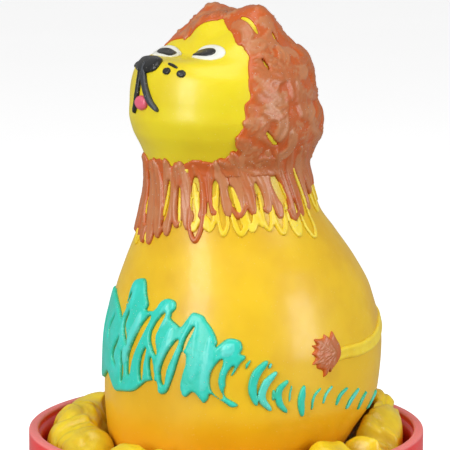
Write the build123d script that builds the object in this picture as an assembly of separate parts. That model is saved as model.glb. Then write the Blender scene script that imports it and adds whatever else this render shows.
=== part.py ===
"""A painted latex lion standing in a round plastic tub.

The latex sheath is pulled tight over a hollow former, which sits on a loose round foot in the tub.
Its spare length lies folded in the tub and ends in a rolled bead. The mane, face, grass and tail are
raised paint on the sheath. Millimetres, +Z up, the lion faces -Y, and the origin is the middle of the
tub's underside.
"""
from build123d import *
import math
import os

# ---------------------------------------------------------------- driving dimensions
TUB_RADIUS = 26.0  # outside
TUB_HEIGHT = 28.0
TUB_WALL = 1.6
TUB_FLOOR = 1.6
TUB_BASE_FILLET = 1.5
RIM_WALL = 1.25  # above the ledge that a lid sits on
RIM_REBATE = 0.85  # depth of that ledge below the rim

FIGURE_HEIGHT = 54.1  # crown above the rim
BODY_REACH = 21.4  # centre line to the back, at its fullest
SHEATH_START = -4.0  # where the tight skin ends, from the rim

SKIN_WALL = 0.5
FORMER_WALL = 1.0
FOOT_CLEARANCE = 0.9  # foot to tub wall
FOOT_THICKNESS = 2.0
SPIGOT_HEIGHT = 7.0
SPIGOT_CLEARANCE = 0.3
SPIGOT_WALL = 1.6

SKIRT_WALL = 0.7
SKIRT_CLEARANCE = 0.6  # skirt to tub wall
SKIRT_GAP = 0.05  # skirt to former
SKIRT_LOW = -9.0  # bottoms of the folds, from the rim
SKIRT_HIGH = 0.8  # tops of the folds, from the rim
SKIRT_BEND = 0.8  # middle of the sheet, at each fold
BEAD_RADIUS = 0.9
BEAD_LIFT = 0.1  # bead above the middle of the outermost fold's edge

THIN_PAINT = 0.3
FULL_PAINT = 0.5
MANE_PAINT = 0.8
CUTTER_DEPTH = 1.6  # each way through the paint
CORE_RADIUS = 4.0  # cutters start outside this
FAR_RADIUS = 60.0  # and end outside the lion

# ---------------------------------------------------------------- the lion's outline
# Height above the rim and reach from the centre line, in millimetres, along four upright lines:
# the front, a third of the way round, two thirds of the way round and the back.
FRONT_LINE = [(-4, 14.4), (0, 15.5), (5, 15.4), (11, 15.1), (18, 13.7), (22, 12.6), (26, 11.4),
              (29, 10.8), (33, 10.3), (35, 10.4), (37, 11.1), (39.5, 12.3), (41.5, 12.7), (43.5, 12.6)]
CHEEK_LINE = [(-4, 14.4), (0, 16.1), (5, 16.9), (11, 16.8), (18, 15.5), (22, 14.0), (26, 12.2),
              (29, 11.2), (33, 10.4), (35, 10.3), (37, 11.0), (39.5, 12.1), (41.5, 12.5), (43.5, 12.4)]
FLANK_LINE = [(-4, 14.4), (0, 16.7), (5, 18.5), (11, 18.7), (18, 17.4), (22, 15.7), (26, 13.3),
              (29, 11.8), (33, 10.7), (35, 10.4), (37, 11.0), (39.5, 11.9), (41.5, 11.9), (43.5, 11.5)]
BACK_LINE = [(-4, 14.4), (0, 17.4), (5, 20.8), (11, 21.4), (18, 19.8), (22, 17.6), (26, 14.7),
             (29, 12.4), (33, 11.0), (35, 10.5), (37, 11.0), (39.5, 11.7), (41.5, 11.6), (43.5, 11.1)]
HEAD_CENTRE = 43.5

# Above the head's centre: rise from level, in degrees, and reach from that centre.
FRONT_HEAD = [(0, 12.6), (18, 12.6), (24, 12.1), (29, 10.9), (34, 9.5), (45, 7.9), (58, 8.8), (66, 10.0),
              (74, 10.7), (90, 10.6)]
CHEEK_HEAD = [(0, 12.4), (22, 12.1), (28, 10.7), (35, 10.7), (43, 10.7), (52, 10.1), (60, 9.8), (72, 10.1),
              (90, 10.6)]
FLANK_HEAD = [(0, 11.5), (17, 11.6), (29, 11.6), (38, 11.1), (50, 10.9), (65, 10.8), (90, 10.6)]
BACK_HEAD = [(0, 11.1), (17, 11.5), (29, 11.6), (38, 11.0), (50, 11.0), (65, 11.0), (90, 10.6)]

# Rounded swellings: turn from the front, rise, radius and height.
NEAR_EAR = (98, 63, 2.6, 2.6)
FAR_EAR = (-102, 60, 2.6, 2.4)
NAPE_LOBE = (150, -13, 2.4, 0.5)
SWELLINGS = [NEAR_EAR, FAR_EAR, NAPE_LOBE]

# ---------------------------------------------------------------- paint places
# A turn is in degrees from the front, towards +X. On the head the second value is the rise above the
# head's centre, and on the body it is the height above the rim.
FACE_BANDS = [(36.2, 38.5, 60), (38.5, 46.0, 70), (46.0, 49.5, 74), (49.5, 52.0, 62)]  # low, high, half turn
COLLAR_LOW = 29.0
COLLAR_HIGH = 36.2
STRAND_COUNT = 24
STRAND_LOW = 25.8
COLLAR_HEM = 26.8  # lowest brown paint between the yellow strands
STRAND_SLIT = 1.1
EYE_TURN = 37.0
EYE_RISE = 40.0
EYE_SIZE = (4.6, 2.3)
PUPIL_TURN = 30.0
PUPIL_RISE = 40.0
PUPIL_SIZE = (2.6, 1.6)
EYE_SLANT = 12.0
NOSE_RISE = 22.0
NOSE_SIZE = (3.6, 2.2)
MOUTH_LINE = [(4, 17), (5, 8), (8, -2), (14, -9)]
MOUTH_WIDTH = 1.1
TONGUE_RISE = 0.0
TONGUE_RADIUS = 0.85
WHISKER_DOTS = [(19, 19.5, 0.5), (28, 18, 0.55), (21, 24, 0.45)]  # turn, rise, radius
CLUMP_LOW = 6.5
CLUMP_HIGH = 13.0
CLUMP_TURN = 62.0  # half of the clump's spread
BLADE_TOPS = [(-88, 9), (-74, 13), (-58, 16), (-44, 19), (-29, 19.5), (-7, 21), (10, 18), (24, 18.4),
              (35, 17), (48, 17), (61, 15), (73, 12), (83, 9.7)]
BLADE_WIDTH = 3.2
SMALL_BLADES = [(90, 8.4), (98, 7.8), (105, 7.8), (113, 7.1), (121, 6.6), (128, 5.8), (139, 4.9)]
SMALL_BLADE_LENGTH = 3.0
SMALL_BLADE_WIDTH = 1.2
TAIL_LINE = [(182, 12.4), (165, 13.0), (147, 12.7), (129, 11.4), (110, 11.4)]
TAIL_WIDTH = 1.8
TUFT_TURN = 103.0
TUFT_HEIGHT = 12.0
TUFT_SIZE = (4.2, 5.4)

# ---------------------------------------------------------------- derived sizes
RIM = TUB_HEIGHT
TALL = FIGURE_HEIGHT / (HEAD_CENTRE + FRONT_HEAD[-1][1])
WIDE = BODY_REACH / max(reach for height, reach in BACK_LINE)
FOOT_TOP = TUB_FLOOR + FOOT_THICKNESS
SKIRT_INNER = FRONT_LINE[0][1] * WIDE
SKIRT_OUTER = TUB_RADIUS - TUB_WALL - SKIRT_CLEARANCE
FORMER_BORE = SKIRT_INNER - SKIN_WALL - FORMER_WALL
TURNS = [12 * step for step in range(30)]
LEVELS = [-4, -2, 0, 2.5, 5, 8, 11, 14.5, 18, 22, 26, 29, 32, 35, 37, 39.5, 41.5, 43.5]
STEM_STEPS = 8  # rings along the former below the skin
RISES = [5, 10, 15, 20, 24, 29, 34, 40, 46, 52, 57, 61, 65, 69, 73, 78, 84]


def along(line, place):
    """Reach along an outline at a height or rise, smooth and never past its own points."""
    xs = [point[0] for point in line]
    ys = [point[1] for point in line]
    slopes = [(ys[i + 1] - ys[i]) / (xs[i + 1] - xs[i]) for i in range(len(xs) - 1)]
    lean = [slopes[0]]
    for before, after in zip(slopes, slopes[1:]):
        lean.append(0.0 if before * after <= 0 else 2 * before * after / (before + after))
    lean.append(0.0)
    i = max(k for k in range(len(slopes)) if k == 0 or xs[k] <= place)
    span = xs[i + 1] - xs[i]
    u = min(max((place - xs[i]) / span, 0.0), 1.0)
    start = (1 + 2 * u) * (1 - u) ** 2 * ys[i] + u * (1 - u) ** 2 * span * lean[i]
    end = u * u * (3 - 2 * u) * ys[i + 1] + u * u * (u - 1) * span * lean[i + 1]
    return start + end


def swelling(turn, rise):
    """Extra reach where an ear or the nape lobe stands out of the head."""
    extra = 0.0
    for centre_turn, centre_rise, radius, height in SWELLINGS:
        off_turn = (turn - centre_turn + 180) % 360 - 180
        across = math.radians(off_turn) * 11 * math.cos(math.radians(max(rise, centre_rise)))
        up = math.radians(rise - centre_rise) * 11
        extra += height * math.exp(-(across ** 2 + up ** 2) / radius ** 2)
    return extra


def surface_point(turn, level=None, rise=None):
    """Point on the sheath, by its height above the rim or by its rise above the head's centre."""
    angle = math.radians(turn)
    if rise is None:
        lines = (FRONT_LINE, CHEEK_LINE, FLANK_LINE, BACK_LINE)
        place = level
        tilt = 0.0
        base = level
        local_rise = math.degrees(math.atan2(level - HEAD_CENTRE, 12))
    else:
        lines = (FRONT_HEAD, CHEEK_HEAD, FLANK_HEAD, BACK_HEAD)
        place = rise
        tilt = math.radians(rise)
        base = HEAD_CENTRE
        local_rise = rise
    front, cheek, flank, back = (along(line, place) for line in lines)
    reach = (front + 2 * cheek + 2 * flank + back) / 6
    reach += (front + cheek - flank - back) / 3 * math.cos(angle)
    reach += (front - cheek - flank + back) / 3 * math.cos(2 * angle)
    reach += (front - 2 * cheek + 2 * flank - back) / 6 * math.cos(3 * angle)
    if local_rise > -45:
        reach += swelling(turn, local_rise)
    flat = reach * math.cos(tilt) * WIDE
    height = (base + reach * math.sin(tilt)) * TALL
    return Vector(flat * math.sin(angle), -flat * math.cos(angle), RIM + height)


def sheath_point(turn, place, out=0.0):
    """Point at a distance out from the sheath. The place is ("level", mm) or ("rise", degrees)."""
    kind, value = place
    step = 0.4
    along_turn = surface_point(turn + step, **{kind: value}) - surface_point(turn - step, **{kind: value})
    low = {kind: value - step}
    high = {kind: value + step}
    up = surface_point(turn, **high) - surface_point(turn, **low)
    return surface_point(turn, **{kind: value}) + along_turn.cross(up).normalized() * out


def closed_ring(points):
    """Smooth closed wire, with its points evenly spread along it, so that rings match each other."""
    steps = [step / len(points) for step in range(len(points) + 1)]
    return Wire([Edge.make_spline(points, periodic=True, parameters=steps)])


def sheath_solid(out, bottom=None):
    """Solid of the lion's outer shape grown by out, with a straight stem down to bottom."""
    places = [("level", level) for level in LEVELS] + [("rise", rise) for rise in RISES]
    start = RIM + SHEATH_START * TALL
    crown = RIM + FIGURE_HEIGHT + out
    rings = []
    for place in places:
        points = [sheath_point(turn, place, out) for turn in TURNS]
        if place == places[0]:
            points = [Vector(point.X, point.Y, start) for point in points]
        if place == places[0] and bottom is not None:
            for step in range(STEM_STEPS):
                height = bottom + (start - bottom) * step / STEM_STEPS
                rings.append(closed_ring([Vector(point.X, point.Y, height) for point in points]))
        if place == places[-1]:
            points = [Vector(point.X, point.Y, crown) for point in points]
        rings.append(closed_ring(points))
    return Solid.make_loft(rings)


def patch_plane(turn, place, slant=0.0):
    """Plane on the sheath, looking outwards, with its X axis level and then turned by slant."""
    kind, value = place
    middle = sheath_point(turn, place)
    outward = sheath_point(turn, place, 1.0) - middle
    level = Vector(math.cos(math.radians(turn)), math.sin(math.radians(turn)), 0)
    plane = Plane(origin=middle, x_dir=level, z_dir=outward)
    return plane.rotated((0, 0, slant))


def patch(sketch, turn, place, slant=0.0):
    """Cutter that goes through the paint at one place."""
    sized = scale(sketch, by=WIDE)
    return extrude(patch_plane(turn, place, slant) * sized, amount=CUTTER_DEPTH, both=True)


def stroke(line, kind, width):
    """Cutter for a brush stroke through points of turn and place."""
    cutters = []
    for start, end in zip(line, line[1:]):
        first = sheath_point(start[0], (kind, start[1]))
        last = sheath_point(end[0], (kind, end[1]))
        middle = ((start[0] + end[0]) / 2, (start[1] + end[1]) / 2)
        outward = sheath_point(middle[0], (kind, middle[1]), 1.0) - sheath_point(middle[0], (kind, middle[1]))
        plane = Plane(origin=(first + last) * 0.5, x_dir=last - first, z_dir=outward)
        slot = SlotCenterToCenter((last - first).length, width * WIDE)
        cutters.append(extrude(plane * slot, amount=CUTTER_DEPTH, both=True))
    return joined(cutters)


def joined(shapes):
    """One part from several."""
    whole = Part() + shapes[0]
    for shape in shapes[1:]:
        whole += shape
    return whole


def upright(points, turn):
    """Cutter with an upright outline, of distance across and height above the rim, facing one turn."""
    angle = math.radians(turn)
    plane = Plane(
        origin=(0, 0, RIM),
        x_dir=(math.cos(angle), math.sin(angle), 0),
        z_dir=(math.sin(angle), -math.cos(angle), 0),
    )
    outline = Polygon(*[(x, y * TALL) for x, y in points], align=None)
    return extrude(plane.offset(CORE_RADIUS) * outline, amount=FAR_RADIUS)


def sector(low, high, half_turn):
    """Wedge about the upright axis, open to the front, between two heights above the rim."""
    side_x = FAR_RADIUS * math.sin(math.radians(half_turn))
    side_y = FAR_RADIUS * math.cos(math.radians(half_turn))
    outline = Polygon((0, 0), (-side_x, -side_y), (0, -2 * FAR_RADIUS), (side_x, -side_y), align=None)
    return extrude(Plane.XY.offset(RIM + low * TALL) * outline, amount=(high - low) * TALL)


def band(low, high):
    """Disc between two heights above the rim."""
    disc = Cylinder(FAR_RADIUS, (high - low) * TALL, align=(Align.CENTER, Align.CENTER, Align.MIN))
    return Pos(0, 0, RIM + low * TALL) * disc


def blade(turn, low, high, width):
    """Cutter for a blade of grass that narrows to a soft tip."""
    half = width / 2
    shoulder = low + 0.6 * (high - low)
    return upright([(-half, low), (half, low), (0.8 * half, shoulder), (0.15 * half, high),
                    (-0.15 * half, high), (-0.8 * half, shoulder)], turn)


# ---------------------------------------------------------------- tub and foot
def tub():
    bore = TUB_RADIUS - TUB_WALL
    mouth = TUB_RADIUS - RIM_WALL
    outside = Cylinder(TUB_RADIUS, TUB_HEIGHT, align=(Align.CENTER, Align.CENTER, Align.MIN))
    rim_edge = outside.edges().group_by(Axis.Z)[-1]
    body = fillet(rim_edge, 0.45 * RIM_WALL)
    body = fillet(body.edges().group_by(Axis.Z)[0], TUB_BASE_FILLET)
    hollow = Cylinder(bore, TUB_HEIGHT, align=(Align.CENTER, Align.CENTER, Align.MIN))
    rebate = Cylinder(mouth, TUB_HEIGHT, align=(Align.CENTER, Align.CENTER, Align.MIN))
    body -= Pos(0, 0, TUB_FLOOR) * hollow
    body -= Pos(0, 0, TUB_HEIGHT - RIM_REBATE) * rebate
    return body


def former_foot():
    disc = Cylinder(TUB_RADIUS - TUB_WALL - FOOT_CLEARANCE, FOOT_THICKNESS,
                    align=(Align.CENTER, Align.CENTER, Align.MIN))
    spigot = Cylinder(FORMER_BORE - SPIGOT_CLEARANCE, SPIGOT_HEIGHT,
                      align=(Align.CENTER, Align.CENTER, Align.MIN))
    spigot = chamfer(spigot.edges().group_by(Axis.Z)[-1], 0.3 * SPIGOT_WALL)
    core = Cylinder(FORMER_BORE - SPIGOT_CLEARANCE - SPIGOT_WALL, FOOT_THICKNESS + SPIGOT_HEIGHT,
                    align=(Align.CENTER, Align.CENTER, Align.MIN))
    return Pos(0, 0, TUB_FLOOR) * (disc + Pos(0, 0, FOOT_THICKNESS) * spigot - core)


# ---------------------------------------------------------------- loose skirt
def skirt():
    """Folded spare length of the sheath, as a thin ring in the gap between the lion and the tub."""
    low = RIM + SKIRT_LOW
    high = RIM + SKIRT_HIGH
    half = SKIRT_WALL / 2
    inner = SKIRT_INNER - SKIN_WALL + SKIRT_GAP + half
    outer = SKIRT_OUTER - half
    fold = (outer - inner) / 4
    path = FilletPolyline(
        (inner, RIM + SHEATH_START * TALL),
        (inner + 0.4 * fold, low),
        (inner + 2.0 * fold, high),
        (inner + 3.2 * fold, low),
        (outer, (low + high) / 2),
        radius=min(SKIRT_BEND, fold / 2),
    )
    return revolve(Plane.XZ * trace(path, SKIRT_WALL), Axis.Z)


def rolled_bead():
    """Rolled end of the sheath, on top of the outermost fold."""
    return Pos(0, 0, RIM + (SKIRT_LOW + SKIRT_HIGH) / 2 + BEAD_LIFT + BEAD_RADIUS) * Torus(
        SKIRT_OUTER - BEAD_RADIUS, BEAD_RADIUS)


# ---------------------------------------------------------------- lion and paint
def eye_cutter(side, size):
    return patch(Ellipse(size[0] / 2, size[1] / 2), side * EYE_TURN, ("rise", EYE_RISE), -side * EYE_SLANT)


def pupil_cutter(side):
    outline = Ellipse(PUPIL_SIZE[0] / 2, PUPIL_SIZE[1] / 2)
    return patch(outline, side * PUPIL_TURN, ("rise", PUPIL_RISE), -side * EYE_SLANT)


def ragged(size, count):
    """Outline with torn edges, as a brush dabs it."""
    corners = []
    for step in range(2 * count):
        angle = math.pi * step / count
        share = 1.0 if step % 2 == 0 else 0.78
        corners.append((share * size[0] / 2 * math.cos(angle), share * size[1] / 2 * math.sin(angle)))
    return Polygon(*corners, align=None)


def lion_nodes():
    """The former, the skin and everything that is painted on it, by node name."""
    skin_outside = sheath_solid(0.0)
    skin_inside = sheath_solid(-SKIN_WALL, FOOT_TOP)
    former_inside = sheath_solid(-SKIN_WALL - FORMER_WALL, FOOT_TOP)
    thin_layer = sheath_solid(THIN_PAINT) - skin_outside
    full_layer = sheath_solid(FULL_PAINT) - skin_outside
    mane_layer = sheath_solid(MANE_PAINT) - skin_outside
    pupil_layer = sheath_solid(FULL_PAINT) - sheath_solid(THIN_PAINT)

    nodes = {
        "display_former": skin_inside - former_inside,
        "latex_skin": skin_outside - skin_inside,
    }

    face = joined([sector(low, high, half_turn) for low, high, half_turn in FACE_BANDS])
    nodes["mane_head"] = mane_layer & band(COLLAR_HIGH, 2 * HEAD_CENTRE) - face

    slits = joined([
        upright([(-STRAND_SLIT / 2, STRAND_LOW), (STRAND_SLIT / 2, STRAND_LOW),
                 (STRAND_SLIT / 2, COLLAR_LOW + 3), (0, COLLAR_LOW + 4.5), (-STRAND_SLIT / 2, COLLAR_LOW + 3)],
                360 / STRAND_COUNT * step)
        for step in range(STRAND_COUNT)
    ])
    nodes["mane_collar"] = mane_layer & band(COLLAR_HEM, COLLAR_HIGH) - slits
    nodes["yellow_strands"] = full_layer & slits

    nose = patch(Ellipse(NOSE_SIZE[0] / 2, NOSE_SIZE[1] / 2), 0, ("rise", NOSE_RISE))
    tongue = patch(Circle(TONGUE_RADIUS), 0, ("rise", TONGUE_RISE))
    nodes["nose_pad"] = full_layer & nose
    nodes["tongue"] = full_layer & tongue
    for side, word in ((-1, "left"), (1, "right")):
        white = eye_cutter(side, EYE_SIZE)
        nodes[f"eye_white_{word}"] = thin_layer & white
        nodes[f"pupil_{word}"] = pupil_layer & white & pupil_cutter(side)
        line = [(side * turn, rise) for turn, rise in MOUTH_LINE]
        nodes[f"mouth_line_{word}"] = thin_layer & stroke(line, "rise", MOUTH_WIDTH) - nose - tongue
        dots = [patch(Circle(radius), side * turn, ("rise", rise)) for turn, rise, radius in WHISKER_DOTS]
        nodes[f"whisker_dots_{word}"] = thin_layer & joined(dots)

    clump_edge = sector(CLUMP_LOW, CLUMP_HIGH, CLUMP_TURN)
    clump = joined([clump_edge] + [blade(turn, CLUMP_LOW, top, BLADE_WIDTH) for turn, top in BLADE_TOPS])
    nodes["grass_clump"] = thin_layer & clump
    nodes["grass_blades"] = thin_layer & joined([
        blade(turn, top - SMALL_BLADE_LENGTH, top, SMALL_BLADE_WIDTH) for turn, top in SMALL_BLADES
    ])

    tuft = patch(ragged(TUFT_SIZE, 7), TUFT_TURN, ("level", TUFT_HEIGHT))
    nodes["tail_tuft"] = full_layer & tuft
    nodes["tail_stroke"] = full_layer & stroke(TAIL_LINE, "level", TAIL_WIDTH) - tuft
    return nodes


def main():
    nodes = {
        "tub": tub(),
        "former_foot": former_foot(),
        "skirt": skirt(),
        "rolled_bead": rolled_bead(),
    }
    nodes.update(lion_nodes())
    os.makedirs("parts", exist_ok=True)
    for name, shape in nodes.items():
        export_step(shape, f"parts/{name}.step")
        print(name, len(shape.solids()), round(shape.volume, 2))


main()
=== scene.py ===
"""Looks of the painted latex lion in its round tub.

The frame's nodes give every size that fits. The lion's skin and its raised paint are made here as smooth
surfaces of the same outline, the loose latex is a gathered sheet, and each finish is a procedural material.
Metres, +Z up, the lion faces -Y.
"""
import bpy
import math
import numpy as np
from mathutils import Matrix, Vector, noise


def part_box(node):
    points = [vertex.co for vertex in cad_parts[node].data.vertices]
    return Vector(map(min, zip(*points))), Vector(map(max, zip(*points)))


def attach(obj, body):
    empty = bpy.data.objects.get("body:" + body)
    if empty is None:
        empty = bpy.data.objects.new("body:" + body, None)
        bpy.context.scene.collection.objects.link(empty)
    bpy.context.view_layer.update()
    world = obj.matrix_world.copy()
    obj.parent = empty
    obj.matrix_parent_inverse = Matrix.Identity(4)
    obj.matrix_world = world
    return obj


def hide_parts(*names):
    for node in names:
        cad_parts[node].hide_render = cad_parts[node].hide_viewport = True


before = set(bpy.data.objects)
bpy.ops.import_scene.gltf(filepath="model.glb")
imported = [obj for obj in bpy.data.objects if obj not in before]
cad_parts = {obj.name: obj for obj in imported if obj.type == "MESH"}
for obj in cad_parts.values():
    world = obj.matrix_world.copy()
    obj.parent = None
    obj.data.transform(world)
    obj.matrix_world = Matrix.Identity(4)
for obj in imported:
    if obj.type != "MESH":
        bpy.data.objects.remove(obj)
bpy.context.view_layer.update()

MM = 0.001

# ---------------------------------------------------------------- sizes from the frame
TUB_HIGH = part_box("tub")[1]
RIM = TUB_HIGH[2] / MM
TUB_RADIUS = TUB_HIGH[0] / MM
BEAD_LOW, BEAD_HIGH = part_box("rolled_bead")
BEAD_RADIUS = (BEAD_HIGH[2] - BEAD_LOW[2]) / MM / 2
BEAD_RING = BEAD_HIGH[0] / MM - BEAD_RADIUS
BEAD_LEVEL = (BEAD_HIGH[2] + BEAD_LOW[2]) / MM / 2
SKIN_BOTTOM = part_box("latex_skin")[0][2] / MM - RIM

# ---------------------------------------------------------------- camera
VIEW_TURN = 58.0
VIEW_RISE = 9.0
VIEW_DISTANCE = 326.4
VIEW_ROLL = 0.1
AIM = (-0.1, -0.17, RIM + 26.65)


def camera():
    """Long lens at the height of the lion's head."""
    data = bpy.data.cameras.new("camera")
    data.lens = 200
    data.sensor_width = 36
    data.clip_end = 20
    eye = bpy.data.objects.new("camera", data)
    turn, rise = math.radians(VIEW_TURN), math.radians(VIEW_RISE)
    away = Vector((math.sin(turn) * math.cos(rise), -math.cos(turn) * math.cos(rise), math.sin(rise)))
    eye.location = (Vector(AIM) + away * VIEW_DISTANCE) * MM
    look = (-away).to_track_quat("-Z", "Y").to_euler()
    eye.rotation_euler = look
    eye.rotation_euler.rotate_axis("Z", math.radians(VIEW_ROLL))
    bpy.context.collection.objects.link(eye)
    bpy.context.scene.camera = eye


# ---------------------------------------------------------------- the lion's outline
# Reach from the centre line, in millimetres, at these heights above the rim, along four upright lines:
# the front, a third of the way round, two thirds of the way round and the back.
BODY_UPS = (-4, 0, 5, 11, 18, 22, 26, 29, 33, 35, 37, 39.5, 41.5, 43.5)
BODY_LINES = [list(zip(BODY_UPS, reaches)) for reaches in (
    (14.4, 15.5, 15.4, 15.1, 13.7, 12.6, 11.4, 10.8, 10.3, 10.4, 11.1, 12.3, 12.7, 12.6),
    (14.4, 16.1, 16.9, 16.8, 15.5, 14.0, 12.2, 11.2, 10.4, 10.3, 11.0, 12.1, 12.5, 12.4),
    (14.4, 16.7, 18.5, 18.7, 17.4, 15.7, 13.3, 11.8, 10.7, 10.4, 11.0, 11.9, 11.9, 11.5),
    (14.4, 17.4, 20.8, 21.4, 19.8, 17.6, 14.7, 12.4, 11.0, 10.5, 11.0, 11.7, 11.6, 11.1))]
# Above the head's centre: rise from level, in degrees, and reach from that centre.
HEAD_LINES = (
    [(0, 12.6), (18, 12.6), (24, 12.1), (29, 10.9), (34, 9.5), (45, 7.9), (58, 8.8), (66, 10.0), (74, 10.7),
     (90, 10.6)],
    [(0, 12.4), (13, 12.3), (24, 11.7), (33, 11.0), (43, 10.6), (52, 10.1), (60, 9.8), (72, 10.1),
     (90, 10.5)],
    [(0, 11.5), (17, 11.6), (29, 11.6), (38, 11.1), (50, 10.9), (65, 10.8), (90, 10.6)],
    [(0, 11.1), (17, 11.5), (29, 11.6), (38, 11.0), (50, 11.0), (65, 11.0), (90, 10.6)],
)
HEAD_CENTRE = 43.5
RISE_STEP = 0.19  # millimetres of the upright coordinate for each degree above the head's centre
CROWN = HEAD_CENTRE + 90 * RISE_STEP
HEAD_REACH = 11.0
# Rounded swellings: turn from the front, rise, radius and height.
SWELLINGS = ((98, 63, 2.6, 2.6), (-102, 60, 2.6, 2.4), (150, -13, 2.4, 0.5))
FLUTE_TURNS = (18, 52, 95, 133, 172, 215, 262, 310)
FLUTE_DEPTH = 0.22


def along(line, place):
    """Reach along an outline at many heights or rises, smooth and never past its own points."""
    xs = np.array([point[0] for point in line], float)
    ys = np.array([point[1] for point in line], float)
    slopes = np.diff(ys) / np.diff(xs)
    lean = np.zeros(len(xs))
    lean[0] = slopes[0]
    product = slopes[:-1] * slopes[1:]
    lean[1:-1] = np.where(product > 0, 2 * product / np.where(product > 0, slopes[:-1] + slopes[1:], 1), 0)
    i = np.clip(np.searchsorted(xs, place, side="right") - 1, 0, len(slopes) - 1)
    span = xs[i + 1] - xs[i]
    u = np.clip((place - xs[i]) / span, 0, 1)
    start = (1 + 2 * u) * (1 - u) ** 2 * ys[i] + u * (1 - u) ** 2 * span * lean[i]
    end = u * u * (3 - 2 * u) * ys[i + 1] + u * u * (u - 1) * span * lean[i + 1]
    return start + end


def sheath(turn, up):
    """Points of the lion's skin. A turn is in degrees from the front towards +X. up is the height above
    the rim, and past the head's centre it is measured over the head."""
    turn, up = np.broadcast_arrays(np.asarray(turn, float), np.asarray(up, float))
    angle = np.radians(turn)
    rise = np.clip((up - HEAD_CENTRE) / RISE_STEP, 0, 90)
    on_head = up > HEAD_CENTRE
    body = [along(line, np.minimum(up, HEAD_CENTRE)) for line in BODY_LINES]
    head = [along(line, rise) for line in HEAD_LINES]
    front, cheek, flank, back = (np.where(on_head, h, b) for h, b in zip(head, body))
    reach = (front + 2 * cheek + 2 * flank + back) / 6
    reach = reach + (front + cheek - flank - back) / 3 * np.cos(angle)
    reach = reach + (front - cheek - flank + back) / 3 * np.cos(2 * angle)
    reach = reach + (front - 2 * cheek + 2 * flank - back) / 6 * np.cos(3 * angle)
    local = np.where(on_head, rise, np.degrees(np.arctan2(up - HEAD_CENTRE, 12)))
    for centre_turn, centre_rise, radius, height in SWELLINGS:
        off = (turn - centre_turn + 180) % 360 - 180
        across = np.radians(off) * HEAD_REACH * np.cos(np.radians(np.maximum(local, centre_rise)))
        over = np.radians(local - centre_rise) * HEAD_REACH
        reach = reach + np.where(local > -45, height * np.exp(-(across ** 2 + over ** 2) / radius ** 2), 0)
    low = np.clip(1 - (up - 1) / 9, 0, 1) ** 2 * np.clip((up + 4) / 3, 0, 1)
    for flute in FLUTE_TURNS:
        off = (turn - flute + 180) % 360 - 180
        reach = reach - FLUTE_DEPTH * low * np.exp(-(off / 9.0) ** 2)
    tilt = np.radians(rise)
    flat = reach * np.cos(tilt)
    height = np.where(on_head, HEAD_CENTRE, up) + reach * np.sin(tilt)
    return np.stack([flat * np.sin(angle), -flat * np.cos(angle), RIM + height], -1)


def sheath_out(turn, up):
    """Outward directions on the skin."""
    by_turn = sheath(np.asarray(turn) + 0.4, up) - sheath(np.asarray(turn) - 0.4, up)
    by_up = sheath(turn, np.asarray(up) + 0.05) - sheath(turn, np.asarray(up) - 0.05)
    out = np.cross(by_turn, by_up)
    length = np.linalg.norm(out, axis=-1, keepdims=True)
    flat = length[..., 0] < 1e-9
    out = out / np.where(length < 1e-9, 1, length)
    out[flat] = (0, 0, 1)
    return out


# ---------------------------------------------------------------- meshes
def mesh_object(name, points, faces, smooth=True):
    """Piece with its place in its mesh, from points in millimetres."""
    mesh = bpy.data.meshes.new(name)
    mesh.from_pydata((np.asarray(points) * MM).tolist(), [], [list(map(int, face)) for face in faces])
    mesh.polygons.foreach_set("use_smooth", [smooth] * len(mesh.polygons))
    mesh.update()
    piece = bpy.data.objects.new(name, mesh)
    bpy.context.collection.objects.link(piece)
    return piece


def finish_piece(piece, material, body, slot, *nodes):
    """Gives a piece its material, its body and the nodes that it stands for."""
    piece.data.materials.clear()
    piece.data.materials.append(material)
    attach(piece, body)
    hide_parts(*nodes)
    return piece


def ring_faces(rows, columns):
    """Quads between closed rings of points."""
    faces = []
    for low in range(0, (rows - 1) * columns, columns):
        for column in range(columns):
            after = (column + 1) % columns
            faces.append((low + column, low + after, low + columns + after, low + columns + column))
    return faces


def capped_rings(name, rings):
    """Closed surface through a chain of rings, with both ends capped at their middles."""
    columns, count = len(rings[0]), sum(len(ring) for ring in rings)
    faces = ring_faces(len(rings), columns)
    faces += [((i + 1) % columns, i, count) for i in range(columns)]
    top = count - columns
    faces += [(top + i, top + (i + 1) % columns, count + 1) for i in range(columns)]
    return mesh_object(name, np.concatenate([*rings, [rings[0].mean(0), rings[-1].mean(0)]]), faces)


# ---------------------------------------------------------------- brush paint
def smooth_line(line, count, closed=False):
    """Even steps on a Catmull-Rom line through given points, or through given rows of values."""
    line = np.asarray(line, float)
    if closed:
        padded = np.vstack([line[-1:], line, line[:2]])
    else:
        padded = np.vstack([2 * line[:1] - line[1:2], line, 2 * line[-1:] - line[-2:-1]])
    last = len(line) if closed else len(line) - 1
    places = np.linspace(0, last, count + 1)
    i = np.clip(places.astype(int), 0, last - 1)
    t = (places - i)[:, None]
    a, b, c, d = padded[i], padded[i + 1], padded[i + 2], padded[i + 3]
    bend, twist = 2 * a - 5 * b + 4 * c - d, 3 * b - a - 3 * c + d
    return 0.5 * (2 * b + (c - a) * t + bend * t ** 2 + twist * t ** 3)


def on_skin(line, count=None, closed=False):
    """A smooth line of turns and heights, laid on the lion's skin."""
    line = smooth_line(line, count or 5 * len(line), closed)
    return sheath(line[:, 0], line[:, 1])


def nearest(spots, path):
    """How far spots are from a path, and how far along it they are, from 0 to 1."""
    best = np.full(len(spots), 1e9)
    share = np.zeros(len(spots))
    for i in range(len(path) - 1):
        start, way = path[i], path[i + 1] - path[i]
        t = np.clip(((spots - start) @ way) / max(way @ way, 1e-12), 0, 1)
        gap = np.linalg.norm(spots - start - t[:, None] * way, axis=1)
        closer = gap < best
        best[closer] = gap[closer]
        share[closer] = (i + t[closer]) / (len(path) - 1)
    return best, share


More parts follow.
